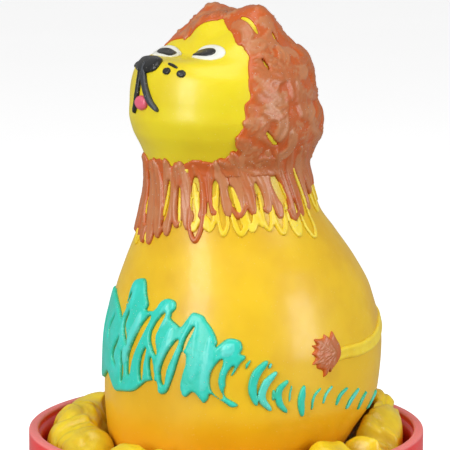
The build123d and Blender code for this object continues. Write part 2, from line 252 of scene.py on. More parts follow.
def rounded(edge):
    return np.sqrt(np.clip(1 - (1 - np.clip(edge, 0, 1)) ** 2, 0, 1))


def within(outline, turn, up):
    """True inside a closed outline of turns and heights."""
    crossings = np.zeros(turn.shape, int)
    for (x0, y0), (x1, y1) in zip(outline, np.roll(outline, -1, axis=0)):
        if y0 != y1:
            hit = (up > min(y0, y1)) & (up <= max(y0, y1))
            crossings += hit & (turn < x0 + (up - y0) * (x1 - x0) / (y1 - y0))
    return crossings % 2 == 1


class Paint:
    """A patch of thick paint on the skin: brush strokes merged into one height field, with rounded edges."""

    def __init__(self, turns, ups, step=0.22, base=0.0):
        middle = sheath(np.mean(turns), np.linspace(*ups, 9))
        reach = np.max(np.hypot(middle[:, 0], middle[:, 1]))
        self.whole = turns[1] - turns[0] >= 360
        self.base = base
        self.turns = np.linspace(*turns, int(math.radians(turns[1] - turns[0]) * reach / step) + 1)
        self.ups = np.linspace(*ups, int((ups[1] - ups[0]) / step) + 1)
        self.turn, self.up = np.meshgrid(self.turns, self.ups)
        self.points = sheath(self.turn, self.up)
        self.field = np.full(self.turn.shape, -1.0)
        self.height = np.zeros(self.turn.shape)
        self.sheen_tone = np.zeros(self.turn.shape)

    def close_to(self, path, margin):
        """Which points lie in the box round a path."""
        return np.all((self.points > path.min(0) - margin) & (self.points < path.max(0) + margin), axis=-1)

    def lay(self, near, inside, lift, sheen_tone):
        """Adds paint where it is thicker than what is there."""
        self.field[near] = np.maximum(self.field[near], inside)
        over = lift > self.height[near]
        self.height[near] = np.where(over, lift, self.height[near])
        self.sheen_tone[near] = np.where(over, sheen_tone, self.sheen_tone[near])

    def stroke(self, line, width, thick=0.3, tip=0.35, soft=0.5, sheen_tone=0.4, streaks=0.12, path=None):
        """Drags a round brush along turns and heights. width is its half width, tip tapers both ends, and
        soft is the share of the width over which the edge rounds off."""
        path = on_skin(line) if path is None else path
        near = self.close_to(path, width + 0.3)
        if not near.any():
            return
        best, share = nearest(self.points[near], path)
        end = np.minimum(share, 1 - share) * 2
        half = width * (tip + (1 - tip) * np.sqrt(np.clip(end * 1.6, 0, 1)))
        inside = half - best
        ridges = 1 + streaks * np.cos(best * 6.5 / max(width, 0.4) + share * 3)
        self.lay(near, inside, thick * rounded(inside / (soft * width)) * ridges, sheen_tone)

    def fill(self, outline, thick=0.3, edge=0.35, sheen_tone=0.4):
        """Fills a closed outline of turns and heights."""
        line = smooth_line(outline, 5 * len(outline), True)
        path = sheath(line[:, 0], line[:, 1])
        near = self.close_to(path, 1.5)
        gap, _ = nearest(self.points[near], path)
        inside = np.where(within(line, self.turn[near], self.up[near]), gap, -gap)
        self.lay(near, inside, thick * rounded(inside / edge), sheen_tone)

    def cut(self, line, width):
        """Scrapes the paint away along a stroke."""
        path = on_skin(line)
        near = self.close_to(path, width + 0.5)
        if near.any():
            best, share = nearest(self.points[near], path)
            end = np.minimum(share, 1 - share) * 2
            gap = best - width * (0.3 + 0.7 * np.sqrt(np.clip(end * 1.6, 0, 1)))
            self.field[near] = np.minimum(self.field[near], gap)
            self.height[near] = self.height[near] * rounded(gap / 0.35)

    def piece(self, name, material, node, sink=0.06):
        """Closed mesh of the patch, clipped to its outline, which knows how thick it is at each point and
        how pale, which sets how much painted sheen its finish lays there."""
        rows, columns = self.field.shape
        index = np.arange(rows * columns).reshape(rows, columns)
        if self.whole:
            index[:, -1] = index[:, 0]
            self.field[:, -1] = self.field[:, 0]
        else:
            self.field[:, (0, -1)] = np.minimum(self.field[:, (0, -1)], -0.001)
        self.field[0] = np.minimum(self.field[0], -0.001)
        a, b, c, d = index[:-1, :-1], index[:-1, 1:], index[1:, 1:], index[1:, :-1]
        halves = [np.stack([a, b, c], -1).reshape(-1, 3), np.stack([a, c, d], -1).reshape(-1, 3)]
        triangles = np.concatenate(halves)
        field = self.field.ravel()
        inside = field[triangles] > 0
        count = inside.sum(1)
        place = np.stack([self.turn.ravel(), self.up.ravel()], -1)
        seam = self.turns[-1] - self.turns[0]
        made, extra = {}, []

        def crossing(p, q):
            key = (p, q) if p < q else (q, p)
            if key not in made:
                p, q = key
                first, second = place[p], place[q].copy()
                if self.whole and abs(second[0] - first[0]) > seam / 2:
                    second[0] += seam if second[0] < first[0] else -seam
                extra.append(first + (second - first) * (field[p] / (field[p] - field[q])))
                made[key] = rows * columns + len(extra) - 1
            return made[key]

        faces = [tuple(corners) for corners in triangles[count == 3]]
        partly = (count > 0) & (count < 3)
        for corners, flags in zip(triangles[partly], inside[partly]):
            while not (flags[0] and not flags[2]):
                corners, flags = np.roll(corners, -1), np.roll(flags, -1)
            p, q, r = (int(corner) for corner in corners)
            if flags[1]:
                x, y = crossing(q, r), crossing(p, r)
                faces += [(p, q, x), (p, x, y)]
            else:
                faces.append((p, crossing(p, q), crossing(p, r)))
        used, faces = np.unique(np.array(faces), return_inverse=True)
        faces = faces.reshape(-1, 3)
        places = np.vstack([place, np.array(extra).reshape(-1, 2)])[used]
        rim = used >= rows * columns
        none = np.zeros(len(extra))
        lift = np.concatenate([self.height.ravel(), none])[used]
        sheen_tone = np.concatenate([self.sheen_tone.ravel(), none + np.mean(self.sheen_tone[self.field > 0])])[used]
        skin, out = sheath(places[:, 0], places[:, 1]), sheath_out(places[:, 0], places[:, 1])
        top = skin + out * (self.base + np.where(rim, -0.02, lift))[:, None]
        under = skin[~rim] + out[~rim] * (self.base - sink)
        below = np.where(rim, np.arange(len(used)), len(used) + np.cumsum(~rim) - 1)
        faces = np.vstack([faces, below[faces][:, ::-1]]).tolist()
        if (self.field[-1] > 0).all():
            crown = np.searchsorted(used, index[-1, :-1])
            faces += [crown.tolist(), below[crown][::-1].tolist()]
        piece = mesh_object(name, np.vstack([top, under]), faces)
        for layer_name, values in (("lift", lift), ("sheen_tone", sheen_tone)):
            layer = piece.data.attributes.new(layer_name, "FLOAT", "POINT")
            layer.data.foreach_set("value", np.concatenate([values, values[~rim]]).astype(np.float32))
        finish_piece(piece, material, "figure", material["slot"], node)


# ---------------------------------------------------------------- finishes
def colour(red, green, blue):
    """Linear colour from screen values up to 255."""
    values = [part / 255 for part in (red, green, blue)]
    return tuple(v / 12.92 if v <= 0.04045 else ((v + 0.055) / 1.055) ** 2.4 for v in values) + (1.0,)


class Wire:
    """Socket of a node tree, which adds Math nodes as it is worked with."""

    def __init__(self, tree, socket):
        self.tree, self.socket = tree, socket

    def math(self, operation, *others):
        return self.tree.node("ShaderNodeMath", {"operation": operation}, dict(enumerate((self, *others))))

    def __add__(self, other):
        return self.math("ADD", other)

    def __sub__(self, other):
        return self.math("SUBTRACT", other)

    def __mul__(self, other):
        return self.math("MULTIPLY", other)

    def __rsub__(self, other):
        return self.tree.node("ShaderNodeMath", {"operation": "SUBTRACT"}, {0: other, 1: self})

    __radd__ = __add__
    __rmul__ = __mul__

    def between(self, low, high):
        """0 below low, 1 above high and soft between."""
        settings = {"interpolation_type": "SMOOTHSTEP"}
        return self.tree.node("ShaderNodeMapRange", settings, {0: self, 1: low, 2: high, 3: 0.0, 4: 1.0})


class Tree:
    """Node tree of a finish or of a shape."""

    def __init__(self, tree):
        self.nodes, self.links = tree.nodes, tree.links
        self.nodes.clear()

    def node(self, kind, settings=None, sockets=None, output=0):
        made = self.nodes.new(kind)
        for name, value in (settings or {}).items():
            setattr(made, name, value)
        for name, value in (sockets or {}).items():
            if isinstance(value, Wire):
                self.links.new(value.socket, made.inputs[name])
            else:
                made.inputs[name].default_value = value
        return Wire(self, made.outputs[output] if made.outputs else None)


class Form(Tree):
    """Geometry tree with a named input for each of its sizes."""

    def __init__(self, name, sizes):
        self.name, self.sizes = name, sizes
        self.group = bpy.data.node_groups.new(name, "GeometryNodeTree")
        super().__init__(self.group)
        self.group.interface.new_socket("Geometry", in_out="OUTPUT", socket_type="NodeSocketGeometry")
        for label in sizes:
            self.group.interface.new_socket(label, in_out="INPUT", socket_type="NodeSocketFloat")
        self.inputs = self.nodes.new("NodeGroupInput")

    def size(self, label):
        return Wire(self, self.inputs.outputs[label])

    def piece(self, geometry, material):
        """Plain mesh object of what the tree makes."""
        smooth = self.node("GeometryNodeSetShadeSmooth", None, {"Geometry": geometry})
        whole = self.node("GeometryNodeRealizeInstances", None, {"Geometry": smooth})
        finished = self.node("GeometryNodeSetMaterial", None, {"Geometry": whole, "Material": material})
        self.node("NodeGroupOutput", None, {"Geometry": finished})
        piece = bpy.data.objects.new(self.name, bpy.data.meshes.new(self.name))
        bpy.context.collection.objects.link(piece)
        maker = piece.modifiers.new(self.name, "NODES")
        maker.node_group = self.group
        for item in self.group.interface.items_tree:
            if item.in_out == "INPUT":
                maker[item.identifier] = self.sizes[item.name]
        made = piece.evaluated_get(bpy.context.evaluated_depsgraph_get())
        mesh = bpy.data.meshes.new_from_object(made)
        piece.modifiers.clear()
        piece.data = mesh
        return piece


class Finish(Tree):
    """Procedural material of one of the object's finishes."""

    def __init__(self, name):
        self.material = bpy.data.materials.new(name)
        self.material.use_nodes = True
        super().__init__(self.material.node_tree)

    def place(self):
        """Position on the object, in millimetres."""
        spot = self.node("ShaderNodeTexCoord", output="Object")
        return self.node("ShaderNodeVectorMath", {"operation": "SCALE"}, {0: spot, "Scale": 1 / MM})

    def part(self, axis):
        return self.node("ShaderNodeSeparateXYZ", None, {0: self.place()}, output=axis)

    def stretched(self, scale):
        return self.node("ShaderNodeVectorMath", {"operation": "MULTIPLY"}, {0: self.place(), 1: scale})

    def noise(self, scale, detail=3.0, rough=0.5, twist=0.0, at=None):
        sockets = {"Vector": at or self.place(), "Scale": scale, "Detail": detail, "Roughness": rough,
                   "Distortion": twist}
        return self.node("ShaderNodeTexNoise", None, sockets)

    def specks(self, scale, size):
        """Dots where a small cell's centre is near."""
        cells = self.node("ShaderNodeTexVoronoi", None, {"Vector": self.place(), "Scale": scale})
        return 1 - cells.between(size * 0.6, size)

    def attribute(self, name):
        return self.node("ShaderNodeAttribute", {"attribute_name": name}, output="Fac")

    def mix(self, first, second, share):
        return self.node("ShaderNodeMix", {"data_type": "RGBA"}, {0: share, 6: first, 7: second}, output=2)

    def done(self, base, rough, bump=None, bump_depth=0.02, coat=None, depth=None, **sockets):
        """Closes the finish. coat is the weight and roughness of a clear coat, and depth is the weight and
        radius of the light under the surface."""
        values = {"Base Color": base, "Roughness": rough, **sockets}
        if bump is not None:
            values["Normal"] = self.node("ShaderNodeBump", None, {
                "Height": bump, "Distance": bump_depth * MM, "Strength": 1.0})
        if coat:
            values["Coat Weight"], values["Coat Roughness"] = coat
        if depth:
            values["Subsurface Weight"], values["Subsurface Radius"] = depth
            values["Subsurface Scale"] = 2 * MM
        shader = self.node("ShaderNodeBsdfPrincipled", None, values)
        self.node("ShaderNodeOutputMaterial", None, {"Surface": shader})
        return self.material


def latex_finish():
    """Tight amber latex: lemon on the head, amber on the body, and a deeper orange painted shade where it
    goes down into the tub.
    """
    f = Finish("tight_latex")
    level = f.part("Z") - RIM
    cloud = f.noise(0.09, 3.0, 0.55)
    fine = f.noise(1.1, 4.0, 0.6)
    body = f.mix(colour(240, 194, 10), colour(226, 176, 4), cloud.between(0.38, 0.66))
    # Painted shade: the body turns a deeper orange low down, where it goes down into the tub.
    body = f.mix(colour(228, 150, 10), body, (level + cloud * 5).between(-1.0, 9.0))
    head = f.mix(colour(236, 214, 12), colour(228, 202, 6), cloud.between(0.4, 0.65))
    base = f.mix(body, head, (level + cloud * 3).between(31.0, 38.0))
    base = f.mix(base, colour(246, 214, 110), (fine.between(0.62, 0.78) * 0.10))
    dust = f.specks(1.7, 0.10)
    base = f.mix(base, colour(250, 236, 170), dust * 0.35)
    rough = 0.38 + fine.between(0.3, 0.7) * 0.10
    bump = f.noise(3.2, 3.0, 0.6) * 0.4 + dust * 0.6 + f.noise(0.5, 2.0, 0.5) * 1.0
    return f.done(base, rough, bump, 0.02, (0.25, 0.18), (0.12, (1.0, 0.55, 0.1)))


def loose_latex_finish():
    """The same latex where it is thin and slack, a little greener, and a deeper orange painted shade low
    down among its folds.
    """
    f = Finish("loose_latex")
    level = f.part("Z") - RIM
    cloud = f.noise(0.22, 3.0, 0.6)
    fine = f.noise(2.2, 4.0, 0.6)
    base = f.mix(colour(244, 208, 22), colour(228, 190, 28), cloud.between(0.35, 0.65))
    # Painted shade: deeper orange low down among the folds, at the bottom of the tub.
    base = f.mix(colour(226, 150, 10), base, (level + cloud * 2).between(-4.5, -0.8))
    base = f.mix(base, colour(246, 218, 90), fine.between(0.6, 0.8) * 0.2)
    bump = fine * 0.5 + f.noise(0.8, 3.0, 0.6, 0.6) * 1.5
    return f.done(base, 0.33 + fine * 0.1, bump, 0.05, (0.3, 0.2), (0.2, (1.0, 0.6, 0.1)))


def paint_finish(name, thick, thin, pale, rough, sheen_share=0.5, scale=1.0):
    """Raised brush paint: its thin edges show a warmer colour, and its streaks a paler one that is a painted
    sheen, laid at random stroke by stroke.
    """
    f = Finish(name)
    f.material["slot"] = name
    lift = f.attribute("lift")
    sheen_tone = f.attribute("sheen_tone")
    cloud = f.noise(0.55 * scale, 3.0, 0.6, 0.4)
    fine = f.noise(3.5 * scale, 4.0, 0.65)
    base = f.mix(thin, thick, (lift + cloud * 0.5 - 0.25).between(0.05, 0.6))
    # Painted sheen: the paler colour is laid over strokes picked at random by their tone.
    base = f.mix(base, pale, (sheen_tone * 0.75 + cloud * 0.6).between(0.55, 1.05) * sheen_share)
    dust = f.specks(1.9, 0.13)
    base = f.mix(base, colour(250, 244, 232), dust * 0.5)
    bump = fine * 0.5 + f.noise(1.1 * scale, 2.0, 0.5) * 1.0 + dust * 1.2
    return f.done(base, rough + fine * 0.12, bump, 0.045, (0.2, 0.25))


def tub_finish():
    """Red moulded plastic, scuffed pale along the rim, and a little darker inside with painted shade."""
    f = Finish("red_tub")
    place = f.place()
    level = f.part("Z") - RIM
    flat = f.node("ShaderNodeVectorMath", {"operation": "MULTIPLY"}, {0: place, 1: (1.0, 1.0, 0.0)})
    reach = f.node("ShaderNodeVectorMath", {"operation": "LENGTH"}, {0: flat}, output="Value")
    cloud = f.noise(0.08, 3.0, 0.5)
    fine = f.noise(1.8, 5.0, 0.7, 0.3)
    base = f.mix(colour(240, 44, 44), colour(232, 34, 32), cloud.between(0.4, 0.65))
    # Painted shade: the inside of the tub is a deeper red.
    inside = 1 - reach.between(TUB_RADIUS - 1.3, TUB_RADIUS - 0.9)
    base = f.mix(base, colour(214, 26, 18), inside)
    edge = level.between(-0.55, -0.12)
    worn = edge * (fine + edge * 0.45).between(0.42, 0.72)
    base = f.mix(base, colour(240, 150, 146), worn * 0.65)
    scuffs = f.noise(0.9, 4.0, 0.7, 1.2, f.stretched((1.0, 1.0, 0.25))).between(0.66, 0.78)
    base = f.mix(base, colour(246, 120, 112), scuffs * 0.18)
    rough = 0.32 + worn * 0.25 + fine.between(0.35, 0.7) * 0.06
    bump = worn * fine * 1.5 + f.noise(0.35, 2.0, 0.5) * 0.6 + scuffs * 0.2
    return f.done(base, rough, bump, 0.03, (0.15, 0.12), (0.08, (1.0, 0.2, 0.1)))


def former_finish():
    """Plain off-white moulding under the latex."""
    f = Finish("former_plastic")
    cloud = f.noise(0.15, 4.0, 0.6)
    base = f.mix(colour(226, 220, 204), colour(208, 200, 182), cloud.between(0.35, 0.7))
    return f.done(base, 0.45 + cloud * 0.1, f.noise(1.5, 3.0, 0.6), 0.03)


def stage_finish():
    f = Finish("pale_floor")
    cloud = f.noise(0.01, 2.0, 0.5)
    return f.done(f.mix((0.86, 0.86, 0.86, 1), (0.9, 0.9, 0.9, 1), cloud), 0.8,
                  **{"Emission Color": (1.0, 1.0, 1.0, 1.0), "Emission Strength": 0.6})


# ---------------------------------------------------------------- skin, tub and foot
def lion_skin(material):
    """Smooth tight skin, half a millimetre thick, from the loose skirt up to the crown."""
    turns = np.arange(240) * 1.5

    def wall(top, rows, depth):
        turn, up = np.meshgrid(turns, np.linspace(SKIN_BOTTOM, top, rows))
        return list(sheath(turn, up) - sheath_out(turn, up) * depth)

    inner, outer = wall(CROWN - 0.4, 60, 0.5), wall(CROWN - 0.05, 230, 0.0)
    skin = capped_rings("tight_skin", inner[::-1] + outer)
    finish_piece(skin, material, "figure", "latex", "latex_skin")


def tub(material):
    """Round tub with eased edges along its rim and its foot, and a step inside the rim."""
    wall, ease, foot, floor, step = 1.6, 0.32, 1.5, 1.6, 0.9
    inside, ledge = TUB_RADIUS - 1.25, TUB_RADIUS - wall
    corner = [(math.cos(a), math.sin(a)) for a in np.radians((0, 30, 60, 90))]
    profile = [(0.4, 0.0), (TUB_RADIUS - foot, 0.0)]
    profile += [(TUB_RADIUS - foot + foot * math.sin(a), foot - foot * math.cos(a))
                for a in np.radians(range(15, 91, 15))]
    profile += [(TUB_RADIUS, RIM * share) for share in (0.3, 0.6, 0.85, 0.95)]
    profile += [(TUB_RADIUS - ease + ease * x, RIM - ease + ease * y) for x, y in corner]
    profile += [(inside + ease - ease * x, RIM - ease + ease * y) for x, y in corner[::-1]]
    profile += [(inside, RIM - step + 0.05), (inside - 0.04, RIM - step), (ledge, RIM - step)]
    profile += [(ledge, RIM * share) for share in (0.9, 0.7, 0.4, 0.15)]
    profile += [(ledge, floor + 0.2), (ledge - 0.2, floor), (0.4, floor)]
    angle = np.linspace(0, 2 * math.pi, 256, endpoint=False)
    rings = [np.stack([r * np.cos(angle), r * np.sin(angle), np.full(256, z)], -1) for r, z in profile]
    finish_piece(capped_rings("tub_shell", rings), material, "tub", "tub_plastic", "tub")


def dress(node, material):
    """Gives a finish to a part of the frame that stays as it is."""
    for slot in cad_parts[node].material_slots:
        slot.material = material


# ---------------------------------------------------------------- loose skirt
# Turn, height above the rim and share of the gap of the folds' tops, right round the lion.
PUFFS = (
    (-74, 1.8, 0.50), (-45, 2.3, 0.45), (-18, 1.0, 0.55), (3, -2.0, 0.55), (14, 0.8, 0.50),
    (30, 0.6, 0.45), (44, -2.0, 0.5), (60, -2.4, 0.55), (72, 0.2, 0.45), (92, 0.9, 0.45), (108, 0.6, 0.42),
    (114, -2.4, 0.4), (119, 1.4, 0.62), (124, 0.8, 0.6), (129, -2.0, 0.5), (138, 1.2, 0.4),
    (152, 3.2, 0.32), (168, 2.8, 0.4), (185, 0.8, 0.5), (200, -1.6, 0.5), (214, 1.2, 0.45),
    (232, 0.7, 0.5), (246, -1.8, 0.5), (262, 0.9, 0.5), (278, 0.4, 0.5))


def around(column, turn):
    """One column of the folds' table, smooth right round."""
    places = np.array([row[0] for row in PUFFS], float)
    values = np.array([row[column] for row in PUFFS], float)
    places = np.concatenate([places - 360, places, places + 360])
    values = np.tile(values, 3)
    i = np.clip(np.searchsorted(places, turn, side="right") - 1, 0, len(places) - 2)
    u = (turn - places[i]) / (places[i + 1] - places[i])
    u = u * u * (3 - 2 * u)
    return values[i] * (1 - u) + values[i + 1] * u


def loose_skirt(material):
    """Spare latex gathered in the gap: down beside the lion, up over soft folds and down along the wall."""
    columns, rows = 420, 84
    turn = np.arange(columns) * 360 / columns
    peak = around(1, turn)
    share = around(2, turn)
    beside = np.hypot(*sheath(turn, np.clip(peak - 0.8, -3.5, 3))[:, :2].T) + 0.25
    start = np.hypot(*sheath(turn, SKIN_BOTTOM)[:, :2].T)
    wall = TUB_RADIUS - 2.25 - 0.35 * np.sin(np.radians(turn * 7)) ** 2
    peak = peak + 0.3 * np.sin(np.radians(turn * 11 + 40)) + 0.22 * np.sin(np.radians(turn * 23))
    top = beside + (wall - beside) * (share + 0.1 * np.sin(np.radians(turn * 9 + 70)))
    flat = np.ones(columns)
    knots = [
        (start - 0.25, SKIN_BOTTOM * flat + 0.1), (start + 0.35, SKIN_BOTTOM * flat - 1.3),
        (start + 1.15, SKIN_BOTTOM * flat - 0.9), (beside, np.minimum(peak - 1.9, -1.2)),
        (beside + (top - beside) * 0.42, peak - 0.35), (top, peak), (top + (wall - top) * 0.5, peak - 0.9),
        (wall - 0.2, peak - 2.7), (wall, -5.6 * flat), (wall - 1.4, -7.2 * flat), (wall - 3.0, -6.6 * flat),
        (BEAD_RING * flat - 1.4, BEAD_LEVEL - RIM - 0.9 * flat)]
    reach, level = (smooth_line([knot[axis] for knot in knots], rows - 1) for axis in (0, 1))
    angle = np.radians(np.broadcast_to(turn, reach.shape))
    free = np.sin(np.clip(np.linspace(0, 1, rows) * 1.1, 0, 1) * math.pi)[:, None]
    points = np.stack([reach * np.sin(angle), -reach * np.cos(angle), level], -1)
    by_row = np.gradient(points, axis=0)
    by_turn = np.roll(points, -1, axis=1) - np.roll(points, 1, axis=1)
    out = np.cross(by_row, by_turn)
    out /= np.linalg.norm(out, axis=-1, keepdims=True)
    if out[rows // 2, :, 2].mean() < 0:
        out = -out
    wrinkle = np.zeros(reach.shape)
    for row in range(rows):
        for column in range(columns):
            x, y, z = points[row, column]
            broad = noise.noise(Vector((x * 0.15, y * 0.15, z * 0.2)))
            pleat = math.sin(math.radians(turn[column] * 9) + z * 0.5 + broad * 4)
            crease = noise.noise(Vector((x * 0.2 + broad * 1.5, y * 0.2 - broad, z * 0.16 + 7)))
            fine = noise.noise(Vector((x * 1.3, y * 1.3, z * 0.6 + crease * 2)))
            wrinkle[row, column] = (broad * 0.7 - (1 - min(1, abs(crease) * 3.5)) ** 2 * 0.4 + fine * 0.03
                                    - max(0.0, pleat) ** 3 * 0.45)
    points = points + out * (wrinkle * free)[..., None]
    reach = np.hypot(points[..., 0], points[..., 1])
    skin = sheath(np.broadcast_to(turn, reach.shape), np.clip(points[..., 2], -4, 6))
    low = np.hypot(skin[..., 0], skin[..., 1])
    held = np.where(points[..., 2] > SKIN_BOTTOM, np.maximum(reach, low + 0.22), reach)
    held = np.minimum(held, TUB_RADIUS - 2)
    points[..., :2] *= (held / reach)[..., None]
    points[..., 2] += RIM
    sheet = mesh_object("loose_skirt", points.reshape(-1, 3), ring_faces(rows, columns))
    if sheet.data.polygons[len(sheet.data.polygons) // 2].normal.z < 0:
        sheet.data.flip_normals()
    wall_maker = sheet.modifiers.new("wall", "SOLIDIFY")
    wall_maker.thickness = 0.3 * MM
    wall_maker.offset = -1
    finish_piece(sheet, material, "figure", "latex", "skirt")


def rolled_edge(material):
    """Rolled end of the sheath, which sways in and out and up and down under the outermost fold."""
    form = Form("rolled_edge", {"Ring": (BEAD_RING - 1.5) * MM, "Level": (BEAD_LEVEL - 1.2) * MM,
                                "Half thickness": 0.62 * MM, "Sway": 0.25 * MM, "Rise": 0.3 * MM})
    circle = form.node("GeometryNodeCurvePrimitiveCircle", None,
                       {"Resolution": 260, "Radius": form.size("Ring")})
    place = form.node("GeometryNodeInputPosition")
    x, y = (form.node("ShaderNodeSeparateXYZ", None, {0: place}, output=axis) for axis in (0, 1))
    turn = y.math("ARCTAN2", x)
    reach = form.size("Ring") + form.size("Sway") * (turn * 5).math("SINE")
    level = form.size("Level") + form.size("Rise") * (turn * 7 + 1).math("SINE")
    swayed = form.node("ShaderNodeCombineXYZ", None, {
        0: reach * turn.math("COSINE"), 1: reach * turn.math("SINE"), 2: level})
    path = form.node("GeometryNodeSetPosition", None, {"Geometry": circle, "Position": swayed})
    cord = form.node("GeometryNodeCurvePrimitiveCircle", None,
                     {"Resolution": 14, "Radius": form.size("Half thickness")})
    roll = form.node("GeometryNodeCurveToMesh", None, {"Curve": path, "Profile Curve": cord})
    finish_piece(form.piece(roll, material), material, "figure", "latex", "rolled_bead")


# ---------------------------------------------------------------- painted features
FACE_EDGE = [
    (52, 36.2), (59, 37.2), (66, 37.9), (64, 39.7), (69, 41.4), (68, 43.6), (72, 44.4), (71, 45.8),
    (73, 48.7), (78, 50.7), (67, 51.5), (64, 54.0), (58, 55.6), (50, 57.4), (34, 57.2), (20, 57.0),
    (0, 56.4), (-20, 55.4), (-34, 54.2), (-46, 52.9), (-54, 51.4), (-60, 50), (-66, 47), (-70, 44),
    (-68, 41), (-64, 38.5), (-55, 36.4), (-40, 35.6), (-25, 36.2), (-10, 35.4), (5, 36.3), (20, 35.3),
    (36, 36.6)]
COLLAR_ENDS = [
    (-180, 31.5), (-150, 31), (-120, 30), (-95, 28.5), (-70, 28), (-45, 27), (-22, 25.6), (2, 25.3),
    (16, 26.7), (23, 27.8), (35, 27.5), (47, 29), (58, 29.5), (68, 29.2), (78, 30.2), (95, 28.7),
    (105, 28.5), (112, 28.9), (123, 30), (134, 32.3), (160, 32), (180, 31.5)]

# Heights of the coat's top and of the strands' tops round the neck.
COAT_TOPS = [
    (-180, 38.5), (-90, 38.5), (-66, 37), (-50, 35.4), (50, 35.4), (62, 36.6), (90, 38.5), (180, 38.5)]
STRAND_TOPS = [(-180, 38), (-90, 38), (-66, 37), (-50, 36), (50, 36), (62, 37), (90, 38), (180, 38)]
# Gaps and strokes as half widths and lines of turns and heights.
MANE_GAPS = [
    (0.24, [(78, 55.6), (84, 54.2), (88, 52.6)]), (0.16, [(104, 52.6), (106, 51.0)]),
    (0.14, [(84, 49.0), (87, 47.6)]), (0.22, [(82, 40.2), (87, 39.0), (91, 38.4)]),
    (0.2, [(-90, 50), (-94, 47.4)]), (0.2, [(-122, 45), (-124, 43)]), (0.18, [(150, 47), (152, 44.6)])]
BROWN_LOOPS = [
    [(34, 32.5), (33, 28.5), (38, 26.3), (42, 28.5), (42, 32)], [(1, 29), (6, 26.6), (12, 27.5)],
    [(60, 31), (66, 29.4), (73, 31.2)], [(98, 31.5), (104, 28.8), (110, 29.4)]]
COLLAR_GAPS = [
    (0.34, [(14, 33.5), (13, 30.6), (12, 28.4)]), (0.24, [(23, 32.8), (24, 30.4), (25, 28.6)]),
    (0.55, [(36, 34.2), (36, 31.6), (37, 29.6)]), (0.5, [(50, 33.8), (51, 31.8), (52, 30.4)]),
    (0.42, [(60, 33.2), (63, 31.6), (66, 30.2)]), (0.34, [(78, 33.5), (81, 32.0), (83, 30.6)]),
    (0.55, [(91, 34.5), (96, 32.4), (101, 30.2)]), (0.34, [(112, 34.8), (117, 32.2), (120, 30.2)]),
    (0.32, [(-14, 34.5), (-12, 30.5), (-9, 27.4)]), (0.35, [(-60, 33), (-58, 30)]),
    (0.35, [(-90, 33), (-88, 30.5)]), (0.35, [(-120, 34), (-118, 32)]), (0.3, [(150, 35), (153, 33)])]
YELLOW_LOOPS = (
    (-21, 24.7), (-5, 25.5), (36, 27.7), (47, 27.7), (56, 27.2), (67, 27.3), (74, 27.8), (85, 27.7),
    (94, 27.2), (105, 26.7), (117, 26.2), (-40, 25.8), (-60, 26.6), (-82, 27.2), (-104, 28), (-128, 29),
    (-150, 29.6), (135, 29), (158, 29.8), (178, 29.8))
YELLOW_STROKES = [
    (0.42, [(-12, 35), (-9, 31.5), (-15, 28), (-8, 26.2)]), (0.4, [(-28, 33), (-32, 30.5)]),
    (0.3, [(-20, 30.5), (-24, 28.8)]), (0.45, [(35, 33.4), (38, 30.5), (44, 28)]),
    (0.7, [(42, 29.4), (47, 27.8)]), (0.3, [(52, 33.5), (51, 30)]), (0.42, [(62, 33), (67, 30), (70, 28)]),
    (0.45, [(76, 32), (79, 29), (84, 28)]), (0.3, [(97, 34), (103, 31)]), (0.6, [(103, 28.6), (107, 27)]),
    (0.3, [(112, 35), (118, 32), (121, 29)]), (0.32, [(24, 31.5), (26, 28)]),
    (0.4, [(70, 34.8), (75, 34)]), (0.28, [(14, 33), (11, 29)]), (0.4, [(28, 35.2), (30, 34.9)])]


def read(table, turn):
    """Height that a table of turns and heights gives at a turn."""
    return np.interp(turn, *np.array(table).T)


def side_name(name, side):
    """The node of a pair that lies on one side of the lion."""
    both = [f"{name}_left", f"{name}_right"]
    return next(node for node in both if (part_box(node)[0][0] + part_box(node)[1][0] > 0) == (side > 0))


def in_face(turn, up):
    """True inside the edge of the bare face."""
    return within(FACE_EDGE, (np.asarray(turn) + 180) % 360 - 180, np.asarray(up, float))


def flow(paint, start, pull, length, swirl=0.0):
    """Path over the skin from a place on it, drawn along by a pull and turning as it goes, or none if it
    would cross the bare face."""
    flat, turns, ups = paint.points.reshape(-1, 3), paint.turn.ravel(), paint.up.ravel()
    spot = np.array(start, float)
    pull = np.array(pull, float)
    path = [spot]
    for step in range(max(3, int(length / 0.7))):
        out = paint.outs[np.argmin(((flat - spot) ** 2).sum(1))]
        way = pull - out * (pull @ out)
        way /= max(np.linalg.norm(way), 1e-6)
        pull = way * math.cos(swirl) + np.cross(out, way) * math.sin(swirl)
        place = np.argmin(((flat - spot - pull * 0.7) ** 2).sum(1))
        if in_face(turns[place], ups[place]):
            return None
        spot = (flat[place] + spot + pull * 0.7) * 0.5
        path.append(spot)
    path = np.array(path)
    path[1:-1] = (path[:-2] + 2 * path[1:-1] + path[2:]) / 4
    return path


